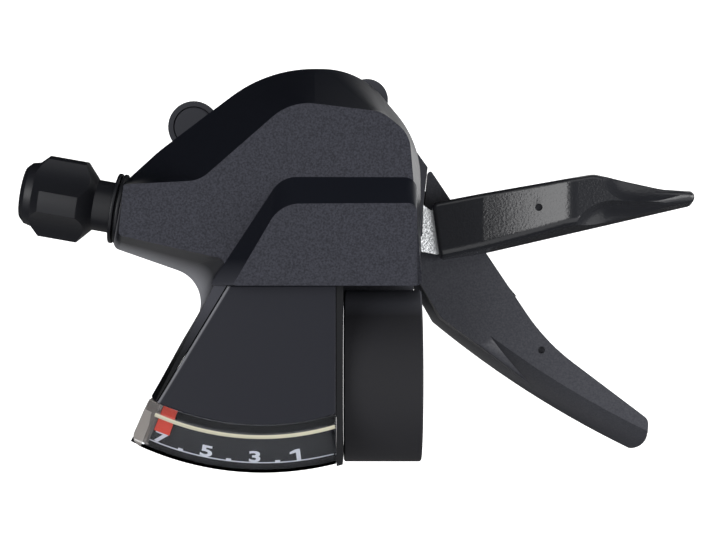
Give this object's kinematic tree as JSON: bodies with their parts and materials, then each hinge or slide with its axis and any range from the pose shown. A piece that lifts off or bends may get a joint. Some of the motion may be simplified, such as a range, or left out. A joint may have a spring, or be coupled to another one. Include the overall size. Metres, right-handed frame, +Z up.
{
  "type": "trigger gear shifter",
  "caption": "Right-hand bar trigger shifter with a hinged thumb lever, a release trigger, a needle dial and a lobed cable adjuster.",
  "frame": {"origin": "centre of the handlebar clamp's bore", "axes": "+X along the bar, outboard; +Y forward; +Z up"},
  "size_m": [0.1113, 0.0643, 0.0439],
  "materials": {
    "casting": "semi-gloss black",
    "hood": "fine grain",
    "panel": "smooth",
    "lens": "clear",
    "dial": "matt",
    "pointer": "matt",
    "knob": "satin",
    "lever": "satin",
    "trigger": "gloss with fine grain",
    "under_cover": "matt",
    "drum": "smooth",
    "zinc_steel": "zinc plated",
    "bolt_steel": "plated",
    "spring_steel": "bright"
  },
  "bodies": {
    "housing": {"clamp_bracket": "casting", "clamp_bolt": "bolt_steel", "clamp_nut": "bolt_steel", "cable_cap": "casting", "top_cover": "hood", "lower_cover": "under_cover", "cover_screws": "bolt_steel", "indicator_panel": "panel", "indicator_lens": "lens", "indicator_dial": "dial", "indicator_tray": "under_cover", "tray_screws": "bolt_steel", "main_axle": "zinc_steel", "axle_clip": "bolt_steel", "axle_nut": "bolt_steel", "lever_spacer": "under_cover", "axle_washer": "zinc_steel", "catch_pin": "bolt_steel", "adjuster_seat": "knob", "drum_spring": "spring_steel", "lever_spring": "spring_steel"},
    "main_lever": {"main_lever_plate": "zinc_steel", "main_lever_arm": "lever", "feed_pawl_pin": "bolt_steel"},
    "feed_pawl": {"feed_pawl": "zinc_steel"},
    "trigger": {"trigger_plate": "zinc_steel", "trigger_arm": "trigger"},
    "catch": {"catch_pawl": "zinc_steel"},
    "drum": {"cable_drum": "drum", "ratchet_plate": "zinc_steel", "drive_pin": "bolt_steel"},
    "needle": {"needle": "dial", "needle_tip": "pointer"},
    "barrel_adjuster": {"adjuster_barrel": "under_cover", "adjuster_knob": "knob"}
  },
  "joints": [
    {"name": "main_lever_pivot", "type": "hinge", "parent": "housing", "child": "main_lever", "pos_m": [-0.0072, 0.0306, -0.014], "axis": [0, 0, 1], "range_deg": [0, 52.5], "stiffness_Nm_per_rad": 0.2},
    {"name": "feed_pawl_pivot", "type": "hinge", "parent": "main_lever", "child": "feed_pawl", "pos_m": [-0.01062, 0.04335, -0.0037], "axis": [0, 0, 1], "range_deg": [0, 16], "stiffness_Nm_per_rad": 0.01},
    {"name": "trigger_pivot", "type": "hinge", "parent": "housing", "child": "trigger", "pos_m": [-0.0072, 0.0306, -0.0085], "axis": [0, 0, 1], "range_deg": [-12, 0], "stiffness_Nm_per_rad": 0.2},
    {"name": "catch_pivot", "type": "hinge", "parent": "housing", "child": "catch", "pos_m": [-0.02019, 0.0231, -0.0037], "axis": [0, 0, 1], "range_deg": [-24, 0]},
    {"name": "drum_pivot", "type": "hinge", "parent": "housing", "child": "drum", "pos_m": [-0.0072, 0.0306, 0.001], "axis": [0, 0, 1], "range_deg": [0, 105]},
    {"name": "needle_pivot", "type": "hinge", "parent": "housing", "child": "needle", "pos_m": [-0.019, 0.0323, 0.013], "axis": [0, 0, 1], "range_deg": [0, 28.2]},
    {"name": "adjuster_turn", "type": "hinge", "parent": "housing", "child": "barrel_adjuster", "pos_m": [-0.04233, 0.02715, 0.001], "axis": [-0.9848, 0.1736, 0], "continuous": true}
  ],
  "couplings": [
    {"joint": "needle_pivot", "follows": "drum_pivot", "ratio": 0.26857},
    {"joint": "catch_pivot", "follows": "trigger_pivot", "ratio": 2}
  ]
}
